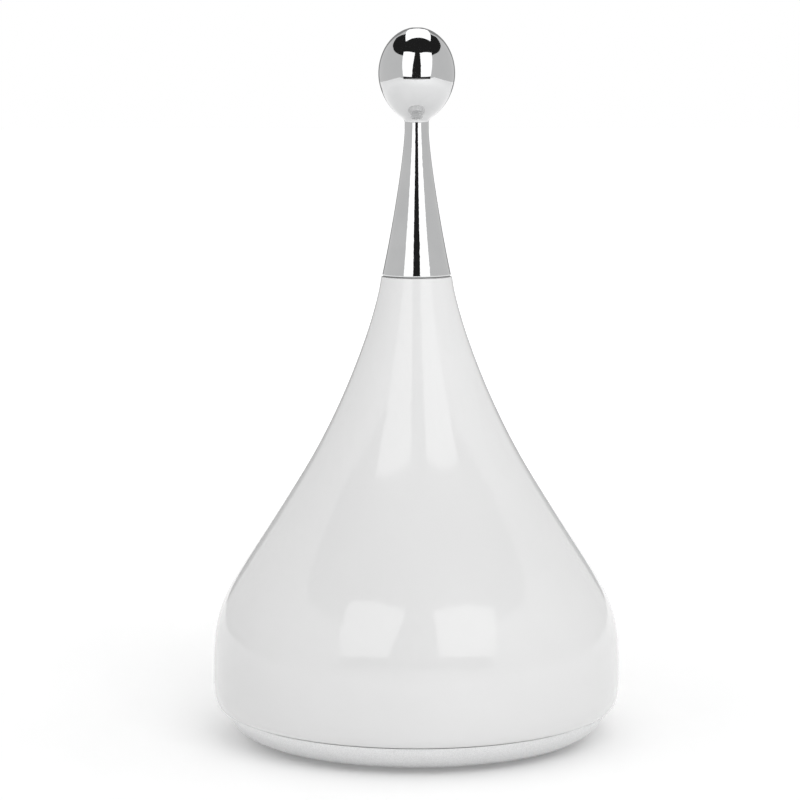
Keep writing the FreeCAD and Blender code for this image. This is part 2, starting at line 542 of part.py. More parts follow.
def transducer_boot():
    """The soft boot that holds the disc by its edge and seals the sump's hole."""
    groove_r, top = DISC_R + GLUE_GAP, SUMP_UNDER_Z - GLUE_GAP
    groove_low, groove_high = DISC_Z - PILOT_GAP, DISC_Z + DISC_H + PILOT_GAP
    neck_r, bore_r = SUMP_HOLE_R - GLUE_GAP, 8.0
    body = lathe((bore_r, BOOT_BOTTOM_Z), (BOOT_R, BOOT_BOTTOM_Z), (BOOT_R, top), (neck_r, top),
                 (neck_r, top + 1), (bore_r, top + 1), (bore_r, groove_high), (groove_r, groove_high),
                 (groove_r, groove_low), (bore_r, groove_low))
    return placed(body, DISC_X)


def transducer_clamp():
    low, high = BOOT_BOTTOM_Z - CLAMP_H, BOOT_BOTTOM_Z
    plate = rod(CLAMP_R, low, high, DISC_X)
    for x, y in clamp_screw_places():
        plate = plate.fuse(rod(CLAMP_EAR_R, low, high, x, y)).cut(rod(SMALL_HOLE_R, low - 1, high + 1, x, y))
    return plate.cut(rod(CLAMP_HOLE_R, low - 1, high + 1, DISC_X)).removeSplitter()


def clamp_screws():
    seat = BOOT_BOTTOM_Z - CLAMP_H
    return [screw(x, y, seat, 7.0, SMALL_SCREW, upward=True) for x, y in clamp_screw_places()]


# ---- Fan ----
def fan_screw_places():
    return [(FAN_X + i * FAN_SCREW_OFFSET, i * FAN_SCREW_OFFSET) for i in (-1, 1)]


def fan_frame():
    """The square frame, with four struts that hold the motor's seat and bearing tube."""
    half = FAN_SIDE / 2
    frame = block(FAN_X - half, FAN_X + half, -half, half, FAN_Z, FAN_Z + FAN_H)
    uprights = [e for e in frame.Edges if e.BoundBox.ZLength > FAN_H / 2]
    frame = frame.makeFillet(3.0, uprights).cut(rod(FAN_BORE_R, FAN_Z - 1, FAN_Z + FAN_H + 1, FAN_X))
    seat = rod(HUB_R, FAN_Z, FAN_Z + 1.2, FAN_X)
    struts = [placed(block(HUB_R - 2, FAN_BORE_R + 1, -1.2, 1.2, FAN_Z, FAN_Z + 1.2), FAN_X, turn=a + 45)
              for a in (0, 90, 180, 270)]
    tube = rod(3.2, FAN_Z, FAN_Z + 6.6, FAN_X)
    frame = frame.fuse([seat, tube] + struts).cut(rod(2.42, FAN_Z + 0.8, FAN_Z + 7, FAN_X))
    for sx, sy in ((-1, -1), (-1, 1), (1, -1), (1, 1)):
        x, y = FAN_X + sx * FAN_SCREW_OFFSET, sy * FAN_SCREW_OFFSET
        frame = frame.cut(rod(1.6, FAN_Z - 1, FAN_Z + FAN_H + 1, x, y))
    return frame.removeSplitter()


def fan_stator():
    """The wound core round the bearing tube: four poles on a small round board."""
    low, high, bore = FAN_Z + 1.3, FAN_Z + 5.9, 3.25
    board = ring(7.6, bore, low, low + 0.6, FAN_X)
    poles = [placed(block(4.0, 7.4, -1.9, 1.9, low, high), FAN_X, turn=a) for a in (0, 90, 180, 270)]
    return ring(4.4, bore, low, high, FAN_X).fuse([board] + poles).removeSplitter()


def fan_bearing():
    return ring(2.4, 1.03, FAN_Z + 0.9, FAN_Z + 6.4, FAN_X)


def fan_shaft():
    return rod(1.0, FAN_Z + 1.0, FAN_Z + 9.0, FAN_X)


def fan_rotor():
    """The hub cup with its leaning blades."""
    low, high = FAN_Z + 1.8, FAN_Z + 9.2
    inner_r = HUB_R - HUB_WALL
    cup = rod(HUB_R, low, high, FAN_X).cut(rod(inner_r, low - 1, high - 1.2, FAN_X))
    boss = rod(2.4, high - 2.4, high - 1, FAN_X)
    band = ring(BLADE_TIP_R, inner_r + 0.5, low, high, FAN_X)
    blades = []
    for i in range(BLADES):
        blade = block(inner_r, BLADE_TIP_R + 1, -0.5, 0.5, -6.5, 6.5)
        blade.rotate(CENTRE, Vector(1, 0, 0), BLADE_LEAN)
        blades.append(placed(blade, FAN_X, 0, (low + high) / 2, 360 / BLADES * i).common(band))
    return cup.fuse([boss] + blades).cut(rod(1.0, low, high - 0.2, FAN_X)).removeSplitter()


def rotor_magnet():
    return ring(HUB_R - HUB_WALL - PILOT_GAP, 8.0, FAN_Z + 2.2, FAN_Z + 7.4, FAN_X)


def fan_screws():
    seat = FAN_Z + FAN_H + 0.1 + HOOD_FLANGE_H
    return [screw(x, y, seat, 13.6, FAN_SCREW) for x, y in fan_screw_places()]


def air_guide():
    """A hood on the fan that leads its air into the flat pipe through the tank."""
    low, half = FAN_Z + FAN_H + 0.1, FAN_SIDE / 2
    flange_top = low + HOOD_FLANGE_H
    flange = block(FAN_X - half, FAN_X + half, -half, half, low, flange_top)
    uprights = [e for e in flange.Edges if e.BoundBox.ZLength > 1 and e.BoundBox.XLength < 0.1]
    flange = flange.makeFillet(3.0, uprights)
    drum = rod(FAN_BORE_R + HOOD_WALL, low, HOOD_ROOF_Z + HOOD_WALL, FAN_X)
    collar = slot(DUCT_W + 2 * HOOD_WALL, DUCT_L + 2 * HOOD_WALL, HOOD_ROOF_Z, TANK_UNDER_Z - 0.1, DUCT_X)
    cuts = [rod(FAN_BORE_R, low - 1, HOOD_ROOF_Z, FAN_X)]
    cuts.append(slot(DUCT_W, DUCT_L, low, TANK_UNDER_Z + 1, DUCT_X))
    for x, y in fan_screw_places():
        cuts += [rod(FAN_SCREW[2] + 0.2, low - 1, flange_top, x, y),
                 rod(FAN_SCREW[0] + 0.3, flange_top, TANK_UNDER_Z, x, y)]
    return flange.fuse([drum, collar]).cut(cuts).removeSplitter()


# ---- Boards ----
def board_screw_places():
    inset = 3.5
    reach = BOARD_HALF_Y - inset
    return [(x, y) for x in (BOARD_X0 + inset, BOARD_X1 - inset) for y in (-reach, reach)]


def back_screw_places():
    return around(52.5, (90 - 11, 90 + 11))


def led_places():
    return around((LED_RING_R0 + LED_RING_R1) / 2, [360 / LED_COUNT * (i + 0.5) for i in range(LED_COUNT)])


def led_stake_places():
    return around((LED_RING_R0 + LED_RING_R1) / 2, [360 / LED_STAKES * i for i in range(LED_STAKES)])


def button_angles():
    return (90 + BUTTON_ANGLE, 90 - BUTTON_ANGLE)


def driver_board():
    board = block(BOARD_X0, BOARD_X1, -BOARD_HALF_Y, BOARD_HALF_Y, BOARD_Z, BOARD_Z + BOARD_H)
    for x, y in board_screw_places():
        board = board.cut(rod(SMALL_HOLE_R, BOARD_Z - 1, BOARD_Z + BOARD_H + 1, x, y))
    return board


def back_board():
    """The curved board behind the back's openings, notched round the socket."""
    low, high = BACK_BOARD_Z, BACK_BOARD_Z + BACK_BOARD_H
    section = outline_face((BACK_BOARD_R0, low), (BACK_BOARD_R1, low), (BACK_BOARD_R1, high),
                           (BACK_BOARD_R0, high))
    board = section.revolve(CENTRE, UP, 2 * BACK_BOARD_HALF_ANGLE)
    board = radial(board, 90 - BACK_BOARD_HALF_ANGLE)
    notch = USB_W / 2 + 0.1
    board = board.cut(block(-notch, notch, USB_MOUTH_Y - USB_DEPTH - 0.1, 60, 0, 10))
    for x, y in back_screw_places():
        board = board.cut(rod(1.0, 0, 10, x, y))
    return board


def on_driver_board(height):
    """The low and high of a component of that height on the driver board."""
    return BOARD_Z + BOARD_H, BOARD_Z + BOARD_H + height


def inductor_core():
    """A ferrite bobbin, standing on the board."""
    low, high = on_driver_board(5.0)
    bobbin = ring(4.4, 0.8, low, high, COIL_X, COIL_Y)
    return bobbin.cut(ring(6.0, 2.4, low + 0.9, high - 0.9, COIL_X, COIL_Y))


def inductor_winding():
    low, high = on_driver_board(5.0)
    return ring(4.0, 2.45, low + 0.95, high - 0.95, COIL_X, COIL_Y)


def capacitors():
    low, high = on_driver_board(4.8)
    can = lathe((0, low), (3.1, low), (3.1, low + 1.2), (2.8, low + 1.5), (3.1, low + 1.8),
                (3.1, high - 0.3), (2.8, high), (0, high))
    return [placed(can, x, -19) for x in (22.5, 30.5)]


def heat_sink():
    """A finned block beside the power transistor."""
    low, high = on_driver_board(9.0)
    plate = block(31, 41, 7.0, 8.6, low, high)
    fins = [block(31 + 2.2 * i, 32.2 + 2.2 * i, 8.0, 16.0, low, high) for i in range(5)]
    return plate.fuse(fins).removeSplitter()


def power_transistor():
    low = BOARD_Z + BOARD_H
    body = block(31.5, 40.5, 3.9, 6.95, low + 2.2, low + 8.4)
    legs = [block(x - 0.4, x + 0.4, 4.9, 5.5, low, low + 2.3) for x in (33.5, 36, 38.5)]
    return body.fuse(legs).removeSplitter()


def control_chip():
    low, high = on_driver_board(1.5)
    body = block(11, 17, -3, 3, low + 0.2, high)
    legs = [block(x - 0.25, x + 0.25, -4, 4, low, low + 0.5) for x in (12.2, 13.4, 14.6, 15.8)]
    return body.fuse(legs).removeSplitter()


def wire_headers():
    """The two-pin sockets that the leads plug into, on the driver board's edges."""
    low, high = on_driver_board(3.6)
    places = ((4.6, 11.0), (4.6, 0.0), (22.0, 20.5))
    return [block(x - 2, x + 2, y - 3, y + 3, low, high) for x, y in places]


def board_screws():
    return [screw(x, y, BOARD_Z + BOARD_H, 5.0, SMALL_SCREW) for x, y in board_screw_places()]


def back_screws():
    return [screw(x, y, BACK_BOARD_Z + BACK_BOARD_H, 3.2, TINY_SCREW) for x, y in back_screw_places()]


def usb_prism(width, height, near, far):
    """A flat-sided bar with round ends, along Y, the shape of the socket's shell."""
    r, run = height / 2, (width - height) / 2
    a, b = Vector(-run, near, USB_Z - r), Vector(run, near, USB_Z - r)
    c, d = Vector(run, near, USB_Z + r), Vector(-run, near, USB_Z + r)
    right = Part.Arc(b, Vector(run + r, near, USB_Z), c).toShape()
    left = Part.Arc(d, Vector(-run - r, near, USB_Z), a).toShape()
    wire = Part.Wire([Part.makeLine(a, b), right, Part.makeLine(c, d), left])
    return Part.Face(wire).extrude(Vector(0, far - near, 0))


def usb_socket():
    """The socket's shell and tongue, with four ears soldered to the board."""
    back, board_top = USB_MOUTH_Y - USB_DEPTH, BACK_BOARD_Z + BACK_BOARD_H
    shell = usb_prism(USB_W, USB_H, back, USB_MOUTH_Y)
    shell = shell.cut(usb_prism(USB_W - 0.6, USB_H - 0.6, back + 0.8, USB_MOUTH_Y + 1))
    tongue = block(-3.3, 3.3, back + 0.5, USB_MOUTH_Y - 1.2, USB_Z - 0.35, USB_Z + 0.35)
    ears = [block(x, x + 1.3, y, y + 1, board_top, board_top + 0.3)
            for x in (-5.6, 4.3) for y in (back + 0.8, back + 3)]
    return shell.fuse([tongue] + ears).removeSplitter()


def push_switches():
    """The two switches on the back board, each with a bore for its stem."""
    low = BACK_BOARD_Z + BACK_BOARD_H
    body = block(50.0, 53.6, -2.4, 2.4, low, low + 2.2)
    body = body.cut(Part.makeCylinder(PUSH_R + 0.05, 2.6, Vector(51.6, 0, PUSH_Z), Vector(1, 0, 0)))
    return [radial(body, a) for a in button_angles()]


def button(angle):
    """A cap whose end follows the pan, a flange that holds it in, and a nose towards its switch."""
    cap = Part.makeCylinder(BUTTON_R, 8, Vector(56.5, 0, BUTTON_Z), Vector(1, 0, 0))
    cap = cap.common(pan_bulk(BUTTON_PROUD))
    cap = cap.makeFillet(0.35, [e for e in cap.Edges if e.BoundBox.XMin > 57])
    flange = block(56.1, 56.9, -3.2, 3.2, 5.9, 8.2)
    nose = Part.makeCylinder(PUSH_R, 1.6, Vector(54.9, 0, PUSH_Z), Vector(1, 0, 0))
    return radial(cap.fuse([flange, nose]).removeSplitter(), angle)


def switch_stem(angle):
    stem = Part.makeCylinder(PUSH_R, 2.4, Vector(52.45, 0, PUSH_Z), Vector(1, 0, 0))
    return radial(stem, angle)


def led_ring_board():
    board = ring(LED_RING_R1, LED_RING_R0, LED_RING_Z, LED_RING_Z + LED_RING_H)
    for x, y in led_stake_places():
        board = board.cut(rod(1.3, LED_RING_Z - 1, LED_RING_Z + LED_RING_H + 1, x, y))
    return board


def leds():
    top = LED_RING_Z + LED_RING_H
    return [block(x - 1.7, x + 1.7, y - 1.7, y + 1.7, top, top + 1.5) for x, y in led_places()]


def transducer_leads():
    top = DISC_Z - GLUE_GAP
    return [lead([(6.65, y, 11.5), (9, y, 11.5), (11, y, 13.5), (11, y, top)], LEAD_D) for y in (-1.4, 1.4)]


def fan_leads():
    return [lead([(-9.95, y, 7), (-5.5, y, 7), (-2, y, 11.5), (2.55, y, 11.5)], LEAD_D) for y in (9.8, 12.2)]


def back_leads():
    top = BACK_BOARD_Z + BACK_BOARD_H + GLUE_GAP
    return [lead([(x, 50, top), (x, 50, 9), (x + 5, 40, 11.5), (x + 14, 27, 11.5), (x + 14, 23.55, 11.5)],
                 LEAD_D) for x in (6.4, 7.7)]


os.makedirs("parts", exist_ok=True)

# cover: the bell and what lifts off with it
save("bell_shell", bell_shell())
save("mist_funnel", mist_funnel())
save("funnel_screws", *funnel_screws())
save("neck_bush", neck_bush())
save("neck_gasket", neck_gasket())

# spire: pulls out of the bell's neck
save("spire_cone", spire_cone())
save("finial_top", finial_top())
save("finial_bottom", finial_bottom())
save("nozzle_tip", nozzle_tip())
save("mist_tube", mist_tube())
save("spire_spigot", spire_spigot())
save("spigot_ring", spigot_ring())

# base
save("base_pan", base_pan())
save("cover_seal", cover_seal())
save("rubber_feet", *rubber_feet())
save("base_screws", *base_screws())
save("water_tank", water_tank())
save("tank_collar", tank_collar())
save("air_pipe", air_pipe())
save("float_cap", float_cap())
save("level_sensor", level_sensor())
save("transducer_disc", transducer_disc())
save("transducer_boot", transducer_boot())
save("transducer_clamp", transducer_clamp())
save("clamp_screws", *clamp_screws())
save("fan_frame", fan_frame())
save("fan_stator", fan_stator())
save("fan_bearing", fan_bearing())
save("fan_screws", *fan_screws())
save("air_guide", air_guide())
save("driver_board", driver_board())
save("board_screws", *board_screws())
save("inductor_core", inductor_core())
save("inductor_winding", inductor_winding())
save("capacitors", *capacitors())
save("heat_sink", heat_sink())
save("power_transistor", power_transistor())
save("control_chip", control_chip())
save("wire_headers", *wire_headers())
save("back_board", back_board())
save("back_screws", *back_screws())
save("usb_socket", usb_socket())
save("push_switches", *push_switches())
save("led_ring_board", led_ring_board())
save("leds", *leds())
save("transducer_leads", *transducer_leads())
save("fan_leads", *fan_leads())
save("back_leads", *back_leads())

# float
save("float_ring", float_ring())
save("float_magnet", float_magnet())

# fan rotor
save("fan_rotor", fan_rotor())
save("rotor_magnet", rotor_magnet())
save("fan_shaft", fan_shaft())

# buttons
for name, angle in zip(("mist", "light"), button_angles()):
    save(f"{name}_button", button(angle))
    save(f"{name}_switch_stem", switch_stem(angle))
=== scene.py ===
import math

import bpy
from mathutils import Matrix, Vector


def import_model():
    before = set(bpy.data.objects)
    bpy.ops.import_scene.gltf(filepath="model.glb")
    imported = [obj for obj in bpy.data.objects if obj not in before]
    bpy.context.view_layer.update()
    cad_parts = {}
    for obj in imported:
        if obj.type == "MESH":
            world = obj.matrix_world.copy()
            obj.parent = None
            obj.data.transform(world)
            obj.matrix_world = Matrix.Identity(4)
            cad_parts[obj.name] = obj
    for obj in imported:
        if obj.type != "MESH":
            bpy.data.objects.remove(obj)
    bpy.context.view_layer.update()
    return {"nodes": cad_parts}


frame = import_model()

# Everything is in metres, in the part's own frame: the base stands on z = 0, the spire is on the z axis, and
# the front, which the camera faces, looks along -Y.

# camera
CAMERA_RISE = math.radians(6.85)        # its height above the point that it looks at, as an angle
CAMERA_DISTANCE = 0.8995
AIM = Vector((-0.00525, 0, 0.1079))
LENS = 127.3                            # mm

# studio: table and backdrop
WORLD_LIGHT = 0.80
FLOOR_RADIUS = 9.0
BACKDROP_RADIUS = FLOOR_RADIUS - 1
BACKDROP_GLOW = 1.0
FLOOR_GLOW_NEAR, FLOOR_GLOW_FAR = 0.15, 0.40      # what the table adds of its own, so that it stays white
FLOOR_NEAR, FLOOR_FAR = 0.10, 0.60                # how far out that light starts to grow, and is whole
TABLE_HALF_X, TABLE_FRONT, TABLE_BACK = 1.05, -0.76, 2.3      # how far out reflections still find the table

# studio: what the gloss reflects. An azimuth is an angle in degrees about the z axis, measured from the
# camera's side and positive to the camera's right.
TENT_RADIUS, TENT_WALL = 3.8, 0.6       # the tent's round wall, and the height where its dome starts
TENT_GLOW = 0.75
APRON_REACH = TENT_RADIUS * 0.7
APRON_LOW_Z, APRON_HIGH_Z = 0.002, 0.2
FLAG_RADIUS, FLAG_TOP_Z = 1.3, 1.2      # the grey cloth behind, which draws a thin line round the edges
FLAG_FROM, FLAG_TO = 153, 207
FLAG_GLOW = 0.30
SOFTBOX_GLOW = 1.75
BOX_LOW_Y, BOX_HIGH_Y = -0.42, -1.0     # how far in front the softboxes' lower and upper edges are
BOX_LOW_Z = 0.145
BOX_NEAR_Z, BOX_FAR_Z = 1.22, 1.80      # heights of the upper edges' inner and outer ends
# azimuths of the inner and the outer end of each softbox's lower edge, and then of its upper edge
BOX_AZIMUTHS = {"left": (-15, -41, -8, -54), "right": (12, 41, 13, 58)}
TOP_BOX_Z = 0.75
TOP_BOX_CORNERS = ((-0.26, -0.03), (0.33, 0.04), (0.19, 0.85), (-0.155, 0.73))
LID_RADIUS, LID_CENTRE_Z = 2.7, 0.211   # the dark room's ceiling is part of a ball round the finial
LID_FROM, LID_STEP = 35, 5              # its lowest elevation, and the step up to the top
LID_HALF_ANGLE = 146
GAP_LOW, GAP_HIGH = (0.60, 0.07), (2.3, 2.2)      # radius and height of the dark gap's lower and upper rim
GAP_HALF_ANGLE = 41
DARK_GLOW = 0.02

# area lights: place, the point that it shines at, width and power in watts
KEY_FRONT = ((0.35, -0.85, 0.90), (0, 0, 0.08), 0.8, 3.8)
KEY_TOP = ((0, -0.2, 0.95), (0, 0, 0.1), 0.7, 0.8)


# ---- Procedural materials ----
class Surface:
    """A material: one Principled shader, and the textures that vary it over the surface."""

    def __init__(self, name, **uniform):
        self.name = name
        self.material = bpy.data.materials.new(name)
        self.material.use_nodes = True
        self.tree = self.material.node_tree
        self.shader = self.tree.nodes["Principled BSDF"]
        self.relief = None
        for socket, value in uniform.items():
            self.shader.inputs[socket.replace("_", " ")].default_value = value

    def node(self, kind, settings=None, **links):
        """A node with its settings made and its inputs linked."""
        made = self.tree.nodes.new("ShaderNode" + kind)
        for key, value in (settings or {}).items():
            if key in made.inputs:
                made.inputs[key].default_value = value
            else:
                setattr(made, key, value)
        for socket, source in links.items():
            self.tree.links.new(source, made.inputs[socket.replace("_", " ")])
        return made

    def place(self, stretch=(1, 1, 1)):
        """The point of the surface, stretched along each axis."""
        own = self.node("TexCoord").outputs["Object"]
        return self.node("Mapping", {"Scale": stretch}, Vector=own).outputs["Vector"]

    def noise(self, size, detail=2.0, stretch=(1, 1, 1)):
        """Soft blotches of about that size, from about 0.25 to 0.75."""
        settings = {"Scale": 1 / size, "Detail": detail, "Roughness": 0.55}
        return self.node("TexNoise", settings, Vector=self.place(stretch)).outputs["Fac"]

    def cells(self, size, output="Distance"):
        """Packed cells of about that size: the distance from a cell's middle, or a colour for each cell."""
        return self.node("TexVoronoi", {"Scale": 1 / size}, Vector=self.place()).outputs[output]

    def corners(self, reach):
        """1 in the open, falling to 0 deep in a corner or a gap. This is ambient occlusion, and the colours
        darkened by it carry painted shade.
        """
        return self.node("AmbientOcclusion", {"Distance": reach, "samples": 8}).outputs["AO"]

    def spread(self, value, low, high, start=0.3, end=0.7):
        """A number between low and high, as value goes from start to end."""
        settings = {"From Min": start, "From Max": end, "To Min": low, "To Max": high}
        return self.node("MapRange", settings, Value=value).outputs["Result"]

    def blend(self, value, low, high, start=0.3, end=0.7):
        """A colour between low and high, as value goes from start to end."""
        ramp = self.node("ValToRGB", Fac=value)
        for stop, place, colour in zip(ramp.color_ramp.elements, (start, end), (low, high)):
            stop.position = place
            stop.color = (*colour, 1)
        return ramp.outputs["Color"]

    def over(self, below, above, share):
        """One colour laid over another, where share is near 1."""
        mix = self.node("Mix", {"data_type": "RGBA"})
        for socket, source in ((0, share), (6, below), (7, above)):
            self.tree.links.new(source, mix.inputs[socket])
        return mix.outputs[2]

    def shaded(self, colour, value):
        """A colour darkened where value is under 1."""
        mix = self.node("Mix", {"data_type": "RGBA", "blend_type": "MULTIPLY"})
        mix.inputs[0].default_value = 1
        self.tree.links.new(colour, mix.inputs[6])
        self.tree.links.new(value, mix.inputs[7])
        return mix.outputs[2]

    def drive(self, socket, source):
        self.tree.links.new(source, self.shader.inputs[socket])

    def colour(self, low, high, value, start=0.3, end=0.7):
        self.drive("Base Color", self.blend(value, low, high, start, end))

    def rough(self, low, high, value, start=0.3, end=0.7):
        self.drive("Roughness", self.spread(value, low, high, start, end))

    def bump(self, height, depth):
        """Relief of that depth, laid over the relief so far."""
        made = self.node("Bump", {"Distance": depth}, Height=height)
        if self.relief:
            self.tree.links.new(self.relief, made.inputs["Normal"])
        self.relief = made.outputs["Normal"]
        self.drive("Normal", self.relief)


def grey(level):
    return (level, level, level)


def tone(level, warm=0.0):
    """A grey, a little warm or cool."""
    return (level * (1 + warm), level, level * (1 - warm))


def gloss_white():
    """Polished white ABS: faint orange peel, a few soft smudges, and painted shade that darkens it in the
    corners.
    """
    s = Surface("gloss_white", IOR=1.5)
    base = s.blend(s.noise(0.05), grey(0.685), grey(0.71))
    # Painted shade: ambient occlusion darkens the white in corners and gaps.
    s.drive("Base Color", s.shaded(base, s.blend(s.corners(0.006), grey(0.80), grey(1.0), 0.0, 0.7)))
    s.rough(0.045, 0.095, s.noise(0.022, 4))
    s.bump(s.noise(0.0032, 1), 0.000012)
    s.bump(s.noise(0.0004, 1), 0.0000012)
    return s


def inner_white():
    """Natural polypropylene: a fine spark-eroded grain and a milky tint."""
    s = Surface("inner_white", IOR=1.49, Subsurface_Weight=0.15, Subsurface_Scale=0.002)
    base = s.blend(s.noise(0.02, 3), tone(0.70, 0.004), tone(0.76, 0.0))
    # Painted shade: ambient occlusion darkens the plastic, a little warm, in corners and gaps.
    s.drive("Base Color", s.shaded(base, s.blend(s.corners(0.005), tone(0.62, 0.02), grey(1.0), 0.0, 0.8)))
    s.rough(0.34, 0.48, s.noise(0.006, 4))
    s.bump(s.noise(0.00035, 2), 0.000010)
    s.bump(s.noise(0.012, 1), 0.00003)
    return s


def chrome_plate():
    """Bright chrome on plastic: slow waves from the moulding, faint wipe marks, fine dust."""
    s = Surface("chrome_plate", Metallic=1.0, IOR=2.5)
    s.colour(tone(0.60, -0.006), tone(0.64, -0.004), s.noise(0.01, 3))
    wiped = s.noise(0.007, 5, stretch=(1, 1, 0.25))
    s.rough(0.028, 0.065, wiped)
    s.bump(s.noise(0.006, 1), 0.0000060)
    s.bump(s.noise(0.0009, 2), 0.0000004)
    return s


def silver_paint(name, level, roughness, flake_size=0.00022):
    """Metallic paint under a satin lacquer: fine flakes that tilt each their own way."""
    s = Surface(name, Metallic=0.82, IOR=1.5, Coat_Weight=0.35, Coat_Roughness=0.22)
    flake = s.cells(flake_size, "Color")
    spark = s.blend(flake, tone(level * 0.90, -0.004), tone(level * 1.06, -0.002), 0.1, 0.9)
    # Painted shade: ambient occlusion darkens the paint in corners and gaps.
    s.drive("Base Color", s.shaded(spark, s.blend(s.corners(0.004), grey(0.72), grey(1.0), 0.0, 0.8)))
    s.rough(roughness - 0.04, roughness + 0.05, s.noise(0.012, 4))
    s.bump(flake, 0.0000012)
    s.bump(s.noise(0.0028, 1), 0.000004)
    return s


def moulded(name, level, warm, roughness, grain=0.0004, depth=0.000012):
    """Plain moulded plastic with a fine grain, paler where it is rubbed, and with painted shade that darkens
    it in corners.
    """
    s = Surface(name, IOR=1.5)
    base = s.blend(s.noise(0.008, 4), tone(level * 0.88, warm), tone(level * 1.12, warm))
    # Painted shade: ambient occlusion darkens the plastic in corners and gaps.
    s.drive("Base Color", s.shaded(base, s.blend(s.corners(0.003), grey(0.66), grey(1.0), 0.0, 0.8)))
    s.rough(roughness - 0.06, roughness + 0.07, s.noise(0.004, 4))
    s.bump(s.noise(grain, 2), depth)
    return s


def rubbery(name, level, warm, roughness):
    """Silicone or rubber: a dull bloom, specks of dust that it holds, a soft moulded skin."""
    s = Surface(name, IOR=1.42, Sheen_Weight=0.25, Sheen_Roughness=0.5)
    base = s.blend(s.noise(0.005, 5), tone(level * 0.9, warm), tone(level * 1.15, warm))
    specks = s.spread(s.noise(0.0006, 3), 0.0, 0.35, 0.62, 0.72)
    s.drive("Base Color", s.over(base, s.blend(specks, grey(level), grey(0.6), 0.0, 0.35), specks))
    s.rough(roughness - 0.08, roughness + 0.08, s.noise(0.003, 3))
    s.bump(s.noise(0.0008, 3), 0.00002)
    return s


def metal(name, low, high, roughness, grain, stretch=(1, 1, 1), depth=0.000003, blotch=0.004):
    """A plain metal: its tint in blotches, and a grain that may run one way."""
    s = Surface(name, Metallic=1.0)
    base = s.blend(s.noise(blotch, 4), low, high)
    # Painted shade: ambient occlusion darkens the metal in corners and gaps.
    s.drive("Base Color", s.shaded(base, s.blend(s.corners(0.0015), grey(0.55), grey(1.0), 0.0, 0.9)))
    lines = s.noise(grain, 3, stretch)
    s.rough(roughness - 0.07, roughness + 0.10, lines)
    s.bump(lines, depth)
    return s


def grained(name, low, high, roughness, size, depth, metallic=0.0):
    """A sintered, foamed or pressed stuff: packed grains with small pits between them."""
    s = Surface(name, Metallic=metallic, IOR=1.5)
    grains = s.cells(size)
    mottled = s.blend(s.noise(size * 6, 4), low, high)
    # Painted shade: the colour darkens in the pits between the grains, where the relief sinks.
    s.drive("Base Color", s.shaded(mottled, s.blend(grains, grey(1.0), grey(0.82), 0.2, 0.9)))
    s.rough(roughness - 0.05, roughness + 0.08, grains, 0.1, 0.8)
    s.bump(s.spread(grains, 1.0, 0.0, 0.0, 0.9), depth)
    return s


def piezo():
    """A fired ceramic disc under a thin silver electrode."""
    return metal("piezo", tone(0.58, 0.03), tone(0.70, 0.02), 0.36, 0.0005, depth=0.000004, blotch=0.003)


def circuit_board():
    """Green solder mask over copper: traces show as slightly raised, brighter lines."""
    cells_per_metre = 420
    fold = 0.22             # of a cell, so that each one carries a few tracks side by side
    s = Surface("circuit_board", IOR=1.52, Coat_Weight=0.5, Coat_Roughness=0.12)
    settings = {"Scale": cells_per_metre, "distance": "MANHATTAN"}
    tracks = s.node("TexVoronoi", settings, Vector=s.place()).outputs["Distance"]
    lines = s.node("Math", {"operation": "PINGPONG"})
    s.tree.links.new(tracks, lines.inputs[0])
    lines.inputs[1].default_value = fold
    mask = s.blend(s.noise(0.004, 3), (0.006, 0.085, 0.028), (0.010, 0.11, 0.040))
    track = s.blend(s.noise(0.001, 2), (0.02, 0.18, 0.06), (0.03, 0.22, 0.08))
    share = s.spread(lines.outputs[0], 0.0, 1.0, 0.10, 0.12)
    s.drive("Base Color", s.over(mask, track, share))
    s.rough(0.26, 0.36, s.noise(0.002, 3))
    s.bump(share, 0.000035)
    s.bump(s.noise(0.0003, 2), 0.000006)
    return s


def copper():
    """Enamelled wire, laid in level turns."""
    s = Surface("copper", Metallic=1.0, Coat_Weight=0.6, Coat_Roughness=0.08)
    turns = s.node("TexWave", {"bands_direction": "Z", "Scale": 700, "Distortion": 0.15}, Vector=s.place())
    # Painted shade: the colour darkens into the groove between turns, where the same wave sinks the relief.
    s.colour((0.42, 0.12, 0.035), (0.78, 0.30, 0.12), turns.outputs["Fac"], 0.1, 0.8)
    s.rough(0.20, 0.34, s.noise(0.001, 3))
    s.bump(turns.outputs["Fac"], 0.00012)
    return s


def led_lens():
    """The yellow phosphor of a white light, under its clear resin."""
    s = Surface("led_lens", IOR=1.45, Subsurface_Weight=0.2, Subsurface_Scale=0.0005)
    s.colour((0.80, 0.70, 0.28), (0.86, 0.80, 0.46), s.noise(0.0006, 4))
    s.rough(0.22, 0.36, s.noise(0.0005, 3))
    s.bump(s.noise(0.0003, 2), 0.00001)
    return s


